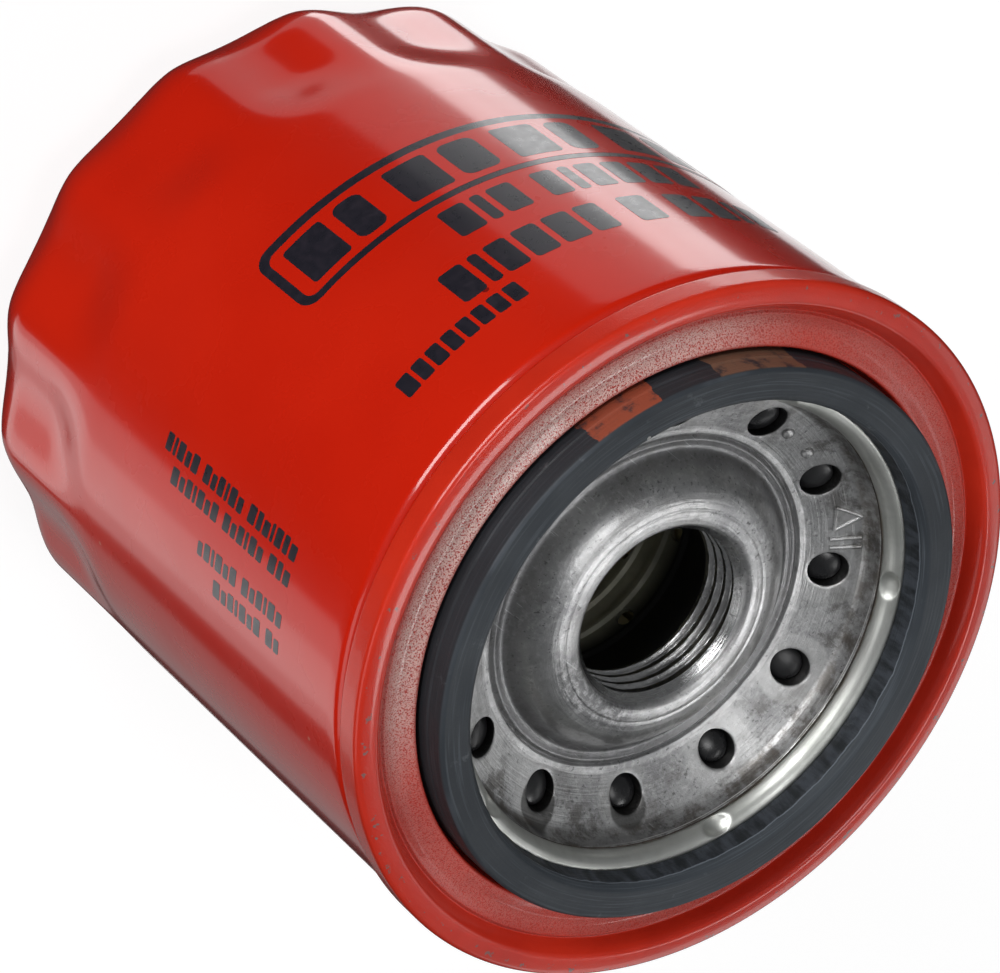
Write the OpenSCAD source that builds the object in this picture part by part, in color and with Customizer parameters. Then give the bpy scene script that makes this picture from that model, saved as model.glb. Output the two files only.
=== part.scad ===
// Spin-on oil filter, built as separate pieces.
// The filter stands on its closed dome end at z = 0. +Z is the filter's axis,
// out of the threaded end and towards the engine. Every size is in millimetres.

/* [Size] */
// Height from the dome's rest face to the gasket's sealing face
filter_h = 84; // [80:1:100]
// Outer diameter of the painted can
can_d = 76; // [76:0.5:78]
// Sheet thickness of the can
can_t = 0.6; // [0.5:0.05:0.7]

/* [Dome and wrench flutes] */
// Radius of the rounding between the can's side and its dome
dome_r = 10; // [8:0.5:11]
// Radius of the raised panel in the middle of the dome
panel_r = 18; // [12:1:20]
// Height of that raised panel
panel_h = 0.8; // [0.4:0.1:1.2]
// Number of wrench flutes round the dome end
flute_n = 15; // [12:1:16]
// Depth of a flute at its deep end
flute_depth = 1.2; // [0.6:0.1:1.6]
// Height at which the flutes have faded out
flute_top = 27; // [22:1:32]

/* [Lid and lock seam] */
// Sheet thickness of the lid that holds the gasket
lid_t = 0.8; // [0.7:0.05:0.9]
// How far the lock seam stands out from the can's side
seam_proud = 0.5; // [0.3:0.1:0.6]
// Depth of the seam's ridge below the sealing face
seam_drop = 2.2; // [2.0:0.1:2.6]
// Height of the lock seam
seam_h = 3.4; // [3.2:0.1:3.8]
// Number of stakes in the lid's inner lip
stake_n = 5; // [3:1:8]
// Angle of the first stake
stake_a = 59.4; // [0:0.1:72]

/* [Gasket] */
// Outer diameter of the gasket
gasket_d = 61.2; // [60.8:0.1:61.4]
// Inner diameter of the sealing face
gasket_bore = 55; // [54.4:0.1:56]

/* [Base plate] */
// Thickness of the base plate
plate_t = 3.0; // [2.6:0.1:3.2]
// Nominal diameter of the thread
thread_d = 20; // [20:1:20]
// Pitch of the thread
thread_pitch = 1.5; // [1.5:0.5:1.5]
// Number of inlet holes
inlet_n = 12; // [6:1:12]
// Diameter of an inlet hole
inlet_d = 3.9; // [3.6:0.1:4.6]
// Radius of the circle that the inlet holes lie on
inlet_r = 21.75; // [21.5:0.05:22]
// Angle of the first inlet hole
inlet_a = 11.1; // [0:0.1:30]

/* [Element] */
// Number of pleats in the paper
pleat_n = 40; // [32:1:44]
// Thickness of the paper
paper_t = 0.5; // [0.4:0.05:0.6]
// Outer radius of the pleats
pleat_ro = 31.5; // [30:0.5:32]
// Rows of holes in the centre tube
tube_rows = 7; // [3:1:7]
// Holes in each row
tube_holes = 8; // [6:2:10]
// Diameter of a centre tube hole
tube_hole_d = 2.0; // [1.6:0.1:2.1]

/* [Springs and valves] */
// How far the element can be pushed towards the dome
element_travel = 2.0; // [1:0.5:2.5]
// How far the bypass poppet lifts
poppet_lift = 3.0; // [2:0.5:3]
// Wire diameter of the element spring
element_wire = 1.8; // [1.4:0.1:2]
// Wire diameter of the bypass spring
bypass_wire = 0.8; // [0.6:0.1:0.9]

/* [Hidden] */

$fn = 96;
gap = 0.05;                             // clearance between pieces of one body

can_r = can_d / 2;
seam_top = filter_h - seam_drop;        // crest of the lock seam
seam_bottom = seam_top - seam_h;        // lower edge of the lock seam
seam_r = can_r + seam_proud;
seam_t = 0.55;                          // lid sheet where it is rolled thin in the seam
neck_r = can_r - 1.3;                   // can's outer radius inside the seam
chuck_r = neck_r - can_t - gap;         // outer radius of the lid's inner seam wall
cover_t = 0.5;                          // lid edge where it is hooked up inside the seam
cover_top = seam_top - seam_t - gap - can_t - 0.55;

channel_top = filter_h - 6.2;           // floor that the gasket sits on
channel_bottom = channel_top - lid_t;
gasket_r = gasket_d / 2;
flange_z = filter_h - 3.4;              // lid's top beside the gasket

thread_minor_r = (thread_d - 1.0825 * thread_pitch) / 2;
plate_r = can_r - can_t - 0.7;
plate_top = channel_bottom;             // the lid lies on the plate's flat rim
boss_top = filter_h - 6.9;              // highest part of the centre boss
foot_z = filter_h - 10.5;               // lowest part of the plate's dished face
neck_bottom = filter_h - 13.1;          // lower end of the threaded neck
neck_wall_r = thread_minor_r + 3;

cap_top = filter_h - 15.8;              // upper end cap's outer face
cap_t = 0.5;
potting_t = 1.8;
media_top = cap_top - cap_t - potting_t;
lower_cap_z = 15.6;                     // lower end cap's outer face
media_bottom = lower_cap_z + cap_t + potting_t;
cap_rim_r = 33.2;
tube_r = 14.0;
tube_t = 0.5;
tube_row_top = filter_h - 24;           // height of the uppermost row of holes
tube_row_step = 6.2;
tube_hole_a = 11.5;                     // angle that the rows of holes start from
pleat_ri = tube_r + 0.8;

seat_hole_r = 6.5;
seat_top = lower_cap_z + cap_t + 0.6;   // face that the bypass seal rests on
seal_t = 1.0;
poppet_r = 8.0;
poppet_t = 1.4;
poppet_z = seat_top + 0.02 + seal_t;    // underside of the poppet's disc
cage_top = poppet_z + poppet_t + 9.0;
dome_floor = panel_h + can_t;           // inside of the dome's middle panel

// Points along a circular arc, in degrees
function arc(cx, cy, r, a0, a1, n = 8) =
    [for (i = [0:n]) let (a = a0 + (a1 - a0) * i / n) [cx + r * cos(a), cy + r * sin(a)]];

// Points mirrored to the other side of a sheet: the same run in reverse, moved
function shifted(points, dx, dz) =
    [for (i = [len(points) - 1:-1:0]) [points[i][0] + dx, points[i][1] + dz]];

module ring(r_out, r_in, z, h) {
    translate([0, 0, z])
        difference() {
            cylinder(r = r_out, h = h);
            translate([0, 0, -1]) cylinder(r = r_in, h = h + 2);
        }
}

// ---------- Can ----------

function smooth(f) = let (c = min(1, max(0, f))) c * c * (3 - 2 * c);

// How much of a flute's depth there is at height z: none at the rest face or above the flutes
function flute_share(z) = smooth(z / 6) * smooth((flute_top - z) / 9);

// How deep the flutes press in at angle a, from 0 on a ridge to 1 in a hollow
function flute_wave(a) = (1 + cos(flute_n * a)) / 2;

// The can's section as points [radius, height], with its sheet t thinner on the inside
function can_run(t) = concat(
    [[panel_r, panel_h + t], [panel_r + 1.4, t]],
    arc(can_r - dome_r, dome_r, dome_r - t, -90, 0, 7),
    [for (f = [0.35, 0.6, 0.8, 1]) [can_r - t, dome_r + f * (flute_top - dome_r)]],
    [[can_r - t, seam_bottom - 1.6], [neck_r + 0.25 - t, seam_bottom - 0.6]],
    [[neck_r - t, seam_bottom - 0.1]]
);

// The can's edge, hooked outwards and down inside the seam
function hook_run() = let (top = seam_top - seam_t - gap, leg = seam_r - seam_t - gap) [
    [neck_r, top - can_t], [leg - can_t, top - can_t], [leg - can_t, seam_bottom + seam_t + 0.3],
    [leg, seam_bottom + seam_t + 0.3], [leg, top], [neck_r - can_t, top]
];

module can() {
    n = flute_n * 6;
    inside = can_run(can_t);
    run = concat(can_run(0), hook_run(), [for (i = [len(inside) - 1:-1:0]) inside[i]]);
    last = len(run) - 1;
    points = [for (p = run, i = [0:n - 1])
        let (a = 360 / n * i, r = p[0] - flute_depth * flute_share(p[1]) * flute_wave(a))
        [r * cos(a), r * sin(a), p[1]]];
    sides = [for (k = [0:last - 1], i = [0:n - 1], half = [0, 1])
        let (j = (i + 1) % n, low = k * n, high = low + n)
        half == 0 ? [low + i, high + j, low + j] : [low + i, high + i, high + j]];
    caps = [[for (i = [0:n - 1]) i], [for (i = [n - 1:-1:0]) last * n + i]];
    color([0.78, 0.12, 0.07]) polyhedron(points, concat(sides, caps), convexity = 10);
}

// ---------- Lid with its half of the lock seam ----------

// Upper face of the lid, from the seam's outer wall in to the gasket channel
lid_face = concat(
    [[seam_r, seam_bottom + 0.3]],
    arc(seam_r - 1.1, seam_top - 1.3, 1.1, 0, 80, 6),
    [[chuck_r + 0.6, seam_top]],
    arc(chuck_r + 0.15, seam_top - 0.45, 0.45, 90, 180, 4),
    [[chuck_r - 0.95, seam_top - 1.75], [chuck_r - 1.3, seam_top - 1.6]],
    [for (i = [1:6]) let (f = i / 6)
        [chuck_r - 1.3 - f * 3.1, seam_top - 1.6 - 0.45 * sin(180 * f) + 0.35 * f]],
    arc(gasket_r + 0.55, flange_z - 0.35, 0.45, 90, 180, 4),
    [[gasket_r + 0.1, channel_top]]
);

// Under face of the same run
lid_under = [
    [gasket_r + 0.1 + lid_t, channel_bottom],
    [gasket_r + 0.1 + lid_t, flange_z - 1.0],
    [chuck_r - 2.8, flange_z - 1.5],
    [chuck_r - 1.0, seam_top - 1.8 - lid_t],
    [chuck_r - 0.1, seam_top - 1.2 - lid_t],
    [chuck_r, seam_top - seam_t],
    [seam_r - seam_t, seam_top - seam_t],
    [seam_r - seam_t, seam_bottom + seam_t],
    [neck_r + gap + cover_t, seam_bottom + seam_t],
    [neck_r + gap + cover_t, cover_top],
    [neck_r + gap, cover_top],
    [neck_r + gap, seam_bottom + 0.1],
    [neck_r + gap + 0.2, seam_bottom],
    [seam_r - 0.4, seam_bottom]
];

// Inner lip that rises from the channel and flares over the gasket's foot
lip_r = 25.1;
lip_top = filter_h - 3.1;
lip_inner = [
    [lip_r + 0.9, channel_bottom], [lip_r + 0.3, channel_bottom + 0.25],
    [lip_r, channel_bottom + 0.9], [lip_r, channel_bottom + 1.6],
    [lip_r + 0.15, channel_bottom + 2.6], [lip_r + 0.5, lip_top - 0.5],
    [lip_r + 0.85, lip_top - 0.1], [lip_r + 1.2, lip_top]
];
lip_outer = [
    [lip_r + 1.55, lip_top - 0.15], [lip_r + 1.6, lip_top - 0.45],
    [lip_r + 1.2, lip_top - 1.0], [lip_r + 0.95, channel_top + 1.4],
    [lip_r + 0.9, channel_top + 0.4], [lip_r + 1.3, channel_top]
];

// Dents that stake the lip outwards against the gasket
module stakes() {
    for (i = [0:stake_n - 1])
        rotate([0, 0, stake_a + 360 / stake_n * i])
            translate([lip_r + 0.95, 0, lip_top + 0.7])
                sphere(r = 1.2, $fn = 24);
}

module seaming_lid() {
    color([0.74, 0.14, 0.09])
        difference() {
            rotate_extrude()
                polygon(concat(lid_face, [[gasket_r + 0.1, channel_top]],
                    [for (i = [len(lip_outer) - 1:-1:0]) lip_outer[i]],
                    [for (i = [len(lip_inner) - 1:-1:0]) lip_inner[i]],
                    lid_under));
            stakes();
        }
}

// Sealing compound that fills the top of the seam, between the lid and the can's hook
module seam_compound() {
    color([0.12, 0.12, 0.12])
        ring(neck_r + gap + cover_t, neck_r + gap, cover_top + 0.02, 0.5);
}

// ---------- Base plate ----------

plate_face = concat(
    [[plate_r, plate_top - 0.6], [plate_r - 0.6, plate_top], [inlet_r + 3.6, plate_top]],
    [[inlet_r, filter_h - 9.04], [18.95, filter_h - 10.3], [18.3, foot_z], [17.4, foot_z]],
    [[16.7, foot_z + 0.1], [16.2, foot_z + 0.7], [15.5, foot_z + 1.6], [14.7, foot_z + 2.5]],
    [[13.8, boss_top - 0.45], [12.8, boss_top - 0.1], [11.7, boss_top]],
    arc(thread_minor_r + 2.3, boss_top - 2.3, 2.3, 90, 180, 6)
);

plate_back = [
    [thread_minor_r, neck_bottom], [neck_wall_r, neck_bottom],
    [neck_wall_r + 0.2, boss_top - plate_t - 0.2], [13.2, boss_top - plate_t - 0.4],
    [15.2, foot_z - plate_t + 1.2], [16.4, foot_z - plate_t + 0.2],
    [18.6, foot_z - plate_t + 0.1], [inlet_r + 3.2, plate_top - plate_t],
    [plate_r, plate_top - plate_t]
];

module base_plate() {
    color([0.55, 0.56, 0.57])
        difference() {
            rotate_extrude() polygon(concat(plate_face, plate_back));
            for (i = [0:inlet_n - 1])
                rotate([0, 0, inlet_a + 360 / inlet_n * i])
                    translate([inlet_r, 0, filter_h - 20])
                        cylinder(d = inlet_d, h = 20, $fn = 32);
        }
}

// ---------- Seals ----------

module sealing_gasket() {
    face_r = gasket_bore / 2;
    color([0.16, 0.17, 0.19])
        rotate_extrude()
            polygon(concat(
                [[gasket_r, channel_top + gap], [gasket_r, filter_h - 0.5]],
                arc(gasket_r - 0.5, filter_h - 0.5, 0.5, 15, 90, 3),
                [[face_r, filter_h], [face_r - 0.15, filter_h - 1.2]],
                [[lip_r + 1.5, lip_top + 0.2], [lip_r + 1.75, lip_top - 0.1]],
                [[lip_r + 1.8, lip_top - 0.6], [lip_r + 1.4, lip_top - 1.2]],
                [[lip_r + 1.4, channel_top + gap]]
            ));
}

module anti_drainback_valve() {
    collar_top = foot_z - plate_t;
    lip_z = plate_top - plate_t - 0.1;
    color([0.07, 0.07, 0.08])
        rotate_extrude()
            polygon([
                [12.9, cap_top + 0.1], [19.0, cap_top + 0.1], [20.2, cap_top + 0.8],
                [27.4, lip_z - 1.0], [28.0, lip_z - 0.5], [27.6, lip_z], [26.6, lip_z],
                [25.4, lip_z - 0.6], [22.6, lip_z - 2.3], [20.4, collar_top - 0.9],
                [19.4, collar_top - 0.2], [16.0, collar_top - 0.1], [12.9, collar_top - 0.1]
            ]);
}

// ---------- Filter element ----------

// A pressed steel end cap: disc, outer rim and a collar round the centre tube
module end_cap(collar_r) {
    difference() {
        rotate_extrude()
            polygon([
                [collar_r, 0], [cap_rim_r - 0.4, 0], [cap_rim_r, 0.4],
                [cap_rim_r, 4.2], [cap_rim_r - cap_t, 4.2], [cap_rim_r - cap_t, cap_t],
                [collar_r + cap_t, cap_t], [collar_r + cap_t, 2.4], [collar_r, 2.4]
            ]);
    }
}

module upper_end_cap() {
    color([0.62, 0.63, 0.62])
        translate([0, 0, cap_top]) mirror([0, 0, 1]) end_cap(tube_r - tube_t - 0.6);
}

module lower_end_cap() {
    color([0.62, 0.63, 0.62])
        translate([0, 0, lower_cap_z]) end_cap(tube_r - tube_t - 0.6);
}

module potting_ring(z) {
    ring(cap_rim_r - cap_t - gap, tube_r + gap, z, potting_t);
}

module upper_potting() {
    color([0.75, 0.68, 0.50]) potting_ring(media_top);
}

module lower_potting() {
    color([0.75, 0.68, 0.50]) potting_ring(lower_cap_z + cap_t);
}

// One side of the pleated sheet: a zigzag of flats between tips and valleys
function pleat_line(tip_r, tip_w, root_r, root_w) = [
    for (i = [0:pleat_n - 1], k = [0:3])
        let (
            pitch = 360 / pleat_n,
            r = k < 2 ? tip_r : root_r,
            w = (k < 2 ? tip_w : root_w) / r * 90 / PI * 2,
            mid = i * pitch + (k < 2 ? 0 : pitch / 2),
            a = mid + (k % 2 == 0 ? -w : w) / 2
        )
        [r * cos(a), r * sin(a)]
];

module filter_media() {
    tip_w = 2.2;
    root_w = 0.7;
    color([0.80, 0.72, 0.48])
        translate([0, 0, media_bottom])
            linear_extrude(media_top - media_bottom)
                difference() {
                    polygon(pleat_line(pleat_ro, tip_w, pleat_ri + paper_t, root_w));
                    polygon(pleat_line(pleat_ro - paper_t, tip_w - 2 * paper_t,
                                       pleat_ri, root_w + 2 * paper_t));
                }
}

// Folded steel strip that clamps the two ends of the paper together at one pleat
module media_seam_clip() {
    half_w = 1.65;
    wall = 0.35;
    color([0.66, 0.66, 0.64])
        translate([0, 0, media_bottom])
            linear_extrude(media_top - media_bottom)
                difference() {
                    translate([pleat_ro - 5, -half_w]) square([5.6, 2 * half_w]);
                    translate([pleat_ro - 6, -half_w + wall])
                        square([6.1, 2 * (half_w - wall)]);
                }
}

// One side of the tube's wall, with a shallow inward bead above and below each row of holes
function beaded_wall(r, z0, z1) = concat(
    [[r, z0]],
    [for (i = [2 * tube_rows - 5:-1:0], p = [[0, -0.5], [-0.4, -0.2], [-0.4, 0.2], [0, 0.5]])
        [r + p[0], tube_row_top + tube_row_step * (0.25 - i / 2) + p[1]]],
    [[r, z1]]
);

module centre_tube() {
    z0 = lower_cap_z + cap_t + gap;
    z1 = cap_top - cap_t - gap;
    inner = beaded_wall(tube_r - tube_t, z0, z1);
    color([0.60, 0.60, 0.58])
        difference() {
            rotate_extrude()
                polygon(concat(beaded_wall(tube_r, z0, z1),
                    [for (i = [len(inner) - 1:-1:0]) inner[i]]));
            for (row = [0:tube_rows - 1], i = [0:tube_holes / 2 - 1])
                rotate([0, 0, tube_hole_a + 360 / tube_holes * (i + ((row + 1) % 2) / 2)])
                    translate([0, 0, tube_row_top - row * tube_row_step])
                        rotate([90, 0, 90])
                            cylinder(d = tube_hole_d, h = 4 * tube_r, center = true, $fn = 32);
        }
}

// ---------- Bypass valve ----------

// Steel disc in the lower end cap's centre, with the hole that the valve closes
module bypass_seat() {
    outer = tube_r - tube_t - 0.6 - gap;
    color([0.68, 0.62, 0.40])
        rotate_extrude()
            polygon([
                [seat_hole_r, lower_cap_z], [outer, lower_cap_z], [outer, lower_cap_z + 2.0],
                [outer - 0.6, lower_cap_z + 2.0], [outer - 0.6, lower_cap_z + 0.6],
                [seat_hole_r + 1.4, lower_cap_z + 0.6], [seat_hole_r + 1.1, seat_top],
                [seat_hole_r, seat_top]
            ]);
}

module bypass_seal() {
    color([0.08, 0.08, 0.09]) ring(poppet_r, 3.2, seat_top + 0.02, seal_t);
}

// Nylon poppet: disc, spring spigot and a stem that runs in the cage's top
module bypass_poppet() {
    stem_top = cage_top + 1.5;
    color([0.85, 0.83, 0.76])
        rotate_extrude()
            polygon([
                [0, seat_top - 0.6], [2.6, seat_top - 0.6], [3.1, seat_top], [3.1, poppet_z],
                [poppet_r, poppet_z], [poppet_r, poppet_z + poppet_t],
                [3.6, poppet_z + poppet_t], [3.4, poppet_z + poppet_t + 2],
                [2.2, poppet_z + poppet_t + 2.4], [2.2, stem_top - 0.4], [1.8, stem_top],
                [0, stem_top]
            ]);
}

// Steel cage that guides the poppet's stem and holds its spring
module bypass_cage() {
    flange_r = tube_r - tube_t - 0.6 - gap - 0.6 - gap;
    z0 = lower_cap_z + 0.6 + gap;
    color([0.68, 0.62, 0.40])
        difference() {
            rotate_extrude()
                polygon([
                    [9.1, z0], [flange_r, z0], [flange_r, z0 + 0.6], [9.8, z0 + 0.6],
                    [9.2, cage_top - 0.6], [8.6, cage_top], [2.35, cage_top],
                    [2.35, cage_top - 0.6], [8.3, cage_top - 0.6], [8.7, cage_top - 1.0]
                ]);
            for (i = [0:3])
                rotate([0, 0, 90 * i + 45])
                    translate([7.5, -3.2, z0 + 1.8]) cube([6, 6.4, cage_top - z0 - 4.0]);
        }
}

// ---------- Springs ----------

// Round wire along a helix whose radius runs from r0 to r1. The end turns lie flat.
module coil(wire, r0, r1, z0, z1, turns, steps = 26, sides = 8) {
    n = ceil(turns * steps);
    function rise(f) = let (flat = 0.8 / turns)
        f < flat ? 0 : f > 1 - flat ? 1 : (f - flat) / (1 - 2 * flat);
    function wire_ring(i) = let (f = i / n, a = 360 * turns * f, r = r0 + (r1 - r0) * f,
                                 z = z0 + wire / 2 + (z1 - z0 - wire) * rise(f))
        [for (k = [0:sides - 1]) let (b = 360 / sides * k)
            [(r + wire / 2 * cos(b)) * cos(a), (r + wire / 2 * cos(b)) * sin(a),
             z + wire / 2 * sin(b)]];
    points = [for (i = [0:n]) each wire_ring(i)];
    sides_faces = [for (i = [0:n - 1], k = [0:sides - 1]) let (j = (k + 1) % sides)
        [i * sides + k, i * sides + j, (i + 1) * sides + j, (i + 1) * sides + k]];
    polyhedron(points, concat([[for (k = [sides - 1:-1:0]) k]], sides_faces,
                              [[for (k = [0:sides - 1]) n * sides + k]]), convexity = 8);
}

module bypass_spring() {
    color([0.55, 0.56, 0.58])
        coil(bypass_wire, 5.2, 5.2, poppet_z + poppet_t + gap, cage_top - 0.6 - gap, 4.5);
}

// Pressed cup that centres the element spring on the dome
module spring_seat() {
    color([0.58, 0.59, 0.60])
        translate([0, 0, dome_floor + gap])
            rotate_extrude()
                polygon([
                    [6, 0], [16.4, 0], [16.4, 2.2], [15.9, 2.2], [15.9, 0.5],
                    [10.2, 0.5], [9.6, 1.6], [6, 1.6], [6, 1.1], [9.3, 1.1], [9.8, 0.5]
                ]);
}

module element_spring() {
    color([0.50, 0.51, 0.53])
        coil(element_wire, 14.7, 11.2, dome_floor + gap + 0.5 + gap, lower_cap_z - gap, 3.6);
}

can();
seaming_lid();
seam_compound();
base_plate();
sealing_gasket();
anti_drainback_valve();
upper_end_cap();
upper_potting();
filter_media();
media_seam_clip();
centre_tube();
lower_potting();
lower_end_cap();
bypass_seat();
bypass_seal();
bypass_poppet();
bypass_spring();
bypass_cage();
spring_seat();
element_spring();
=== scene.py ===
import math

import bmesh
import bpy
from mathutils import Matrix, Vector, noise


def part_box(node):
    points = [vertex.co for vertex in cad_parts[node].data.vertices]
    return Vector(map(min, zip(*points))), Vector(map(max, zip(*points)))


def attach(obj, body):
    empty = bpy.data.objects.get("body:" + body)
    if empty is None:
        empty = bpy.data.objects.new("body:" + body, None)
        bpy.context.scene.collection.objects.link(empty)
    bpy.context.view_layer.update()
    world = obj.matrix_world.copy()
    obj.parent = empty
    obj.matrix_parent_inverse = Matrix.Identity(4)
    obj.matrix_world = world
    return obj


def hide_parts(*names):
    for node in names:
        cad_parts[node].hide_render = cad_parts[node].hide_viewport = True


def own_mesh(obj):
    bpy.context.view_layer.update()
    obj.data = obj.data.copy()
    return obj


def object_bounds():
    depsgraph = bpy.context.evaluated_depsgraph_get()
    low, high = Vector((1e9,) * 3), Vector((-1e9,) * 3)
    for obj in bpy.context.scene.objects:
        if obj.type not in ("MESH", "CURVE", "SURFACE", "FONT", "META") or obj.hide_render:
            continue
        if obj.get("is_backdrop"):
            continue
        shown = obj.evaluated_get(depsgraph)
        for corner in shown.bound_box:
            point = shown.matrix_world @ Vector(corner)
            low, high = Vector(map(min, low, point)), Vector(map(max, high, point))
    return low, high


# Looks for the spin-on oil filter. Lengths are in millimetres until a mesh is made. The
# shaders' raw coordinates and bumps, and the studio, are in metres.
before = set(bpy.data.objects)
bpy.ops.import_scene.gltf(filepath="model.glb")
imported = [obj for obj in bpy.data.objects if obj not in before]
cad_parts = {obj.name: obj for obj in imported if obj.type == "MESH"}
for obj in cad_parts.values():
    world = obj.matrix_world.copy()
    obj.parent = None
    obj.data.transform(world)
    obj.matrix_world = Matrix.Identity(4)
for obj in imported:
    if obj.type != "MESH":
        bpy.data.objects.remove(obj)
CAD_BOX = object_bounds()
MM = 0.001
STEEL, PAINT = 0, 1


def reach(node):
    """(outer radius, lowest z, highest z) of a CAD node, in millimetres."""
    low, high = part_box(node)
    return high.y / MM, low.z / MM, high.z / MM


CAN_R, _, _ = reach("can")
SEAM_R, _, _ = reach("seaming_lid")
GASKET_R, CHANNEL_Z, FACE_Z = reach("sealing_gasket")
PLATE_R, PLATE_Z0, BOSS_Z = reach("base_plate")
_, VALVE_Z0, VALVE_Z1 = reach("anti_drainback_valve")

FLUTES = 15
FLUTE_DEPTH = 1.2
FLUTE_TOP = 27.0
DOME_R = 10.0
INLETS = 12
INLET_CIRCLE = 21.75
INLET_R = 1.95
INLET_ANGLE = 11.1
STAKES = 5
STAKE_ANGLE = 59.4
THREAD_R = 9.188
THREAD_PITCH = 1.5
SEAM_TOP = FACE_Z - 2.2
SEAM_BOTTOM = SEAM_TOP - 3.4
PLATE_TOP = FACE_Z - 7.0
BORE_R = 26.8
BRINK_Z = FACE_Z - 0.9


# ---------- Mesh helpers ----------

TURN = [2 * math.pi * k / 20 for k in range(20)]
QUARTER = [math.pi / 2 * k / 6 for k in range(6)] + [math.pi / 2 - 0.001]


def smooth(f):
    """0 to 1 with level ends as f goes from 0 to 1."""
    f = min(1.0, max(0.0, f))
    return f * f * (3 - 2 * f)


def fillet(corners, steps):
    """A polyline of (r, z) from corners (r, z) or (r, z, rounding)."""
    out = []
    for i, corner in enumerate(corners):
        here = Vector(corner[:2])
        if len(corner) < 3 or i in (0, len(corners) - 1):
            out.append(here)
            continue
        before = Vector(corners[i - 1][:2]) - here
        after = Vector(corners[i + 1][:2]) - here
        cut = min(corner[2], 0.49 * before.length, 0.49 * after.length)
        start, end = here + before.normalized() * cut, here + after.normalized() * cut
        for k in range(steps + 1):
            s = k / steps
            out.append(start * (1 - s) ** 2 + here * 2 * s * (1 - s) + end * s * s)
    return [tuple(p) for p in out]


def spline(points, steps):
    """A smooth curve of (r, z) through the points."""
    ends = [points[0]] + list(points) + [points[-1]]
    out = []
    for a, b, c, d in zip(ends, ends[1:], ends[2:], ends[3:]):
        for k in range(steps):
            t = k / steps
            out.append(tuple(0.5 * (2 * b[j] + (c[j] - a[j]) * t
                                    + (2 * a[j] - 5 * b[j] + 4 * c[j] - d[j]) * t * t
                                    + (3 * b[j] - a[j] - 3 * c[j] + d[j]) * t ** 3) for j in (0, 1)))
    return out + [tuple(points[-1])]


def dense(points, step, low=-1e9, high=1e9):
    """The same polyline with no stretch longer than step between the heights low and high."""
    out = [points[0]]
    for a, b in zip(points, points[1:]):
        inside = low <= max(a[1], b[1]) and min(a[1], b[1]) <= high
        parts = max(1, math.ceil(math.dist(a, b) / step)) if inside else 1
        out += [tuple(a[j] + (b[j] - a[j]) * k / parts for j in (0, 1)) for k in range(1, parts + 1)]
    return out


def from_grid(name, grid, wrap_rings=False, wrap_turn=True):
    """A quad mesh from rows of points in millimetres. Each row closes on itself if wrap_turn is
    set, and the last row joins the first if wrap_rings is."""
    rows, cols = len(grid), len(grid[0])
    verts = [(MM * x, MM * y, MM * z) for row in grid for x, y, z in row]
    faces = []
    for i in range(rows if wrap_rings else rows - 1):
        for j in range(cols if wrap_turn else cols - 1):
            a, b = i * cols + j, i * cols + (j + 1) % cols
            up = ((i + 1) % rows) * cols
            faces.append((a, b, up + (j + 1) % cols, up + j))
    mesh = bpy.data.meshes.new(name)
    mesh.from_pydata(verts, [], faces)
    return mesh


def finish_piece(mesh, name, body, sharp=35, materials=(), slot=None, stands_for=()):
    """Cleans the mesh, turns its faces outwards, shades it and puts it on its body."""
    bm = bmesh.new()
    bm.from_mesh(mesh)
    bmesh.ops.remove_doubles(bm, verts=bm.verts, dist=2e-6)
    bmesh.ops.dissolve_degenerate(bm, edges=bm.edges, dist=1e-7)
    bmesh.ops.recalc_face_normals(bm, faces=bm.faces)
    for face in bm.faces:
        face.smooth = True
    bm.to_mesh(mesh)
    bm.free()
    mesh.set_sharp_from_angle(angle=math.radians(sharp))
    obj = bpy.data.objects.new(name, mesh)
    bpy.context.scene.collection.objects.link(obj)
    for material in materials:
        mesh.materials.append(material)
    if stands_for:
        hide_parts(*stands_for)
    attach(obj, body)
    return obj


def turned(profile, segments, push=None, start=0.0):
    """Rows of points for a profile of (r, z) turned about the axis. push may move each point."""
    grid = []
    for r, z in profile:
        row = []
        for j in range(segments):
            a = start + 2 * math.pi * j / segments
            p = (r * math.cos(a), r * math.sin(a), z)
            row.append(push(a, r, z) if push else p)
        grid.append(row)
    return grid


def lathe(name, profile, body, segments, closed=True, push=None, **rest):
    """A finished piece from a profile turned about the axis."""
    mesh = from_grid(name, turned(profile, segments, push), wrap_rings=closed)
    return finish_piece(mesh, name, body, **rest)


def polar(radius, degrees, z):
    """The point at that radius, angle and height."""
    a = math.radians(degrees)
    return Vector((radius * math.cos(a), radius * math.sin(a), z))


# ---------- Material helpers ----------

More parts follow.
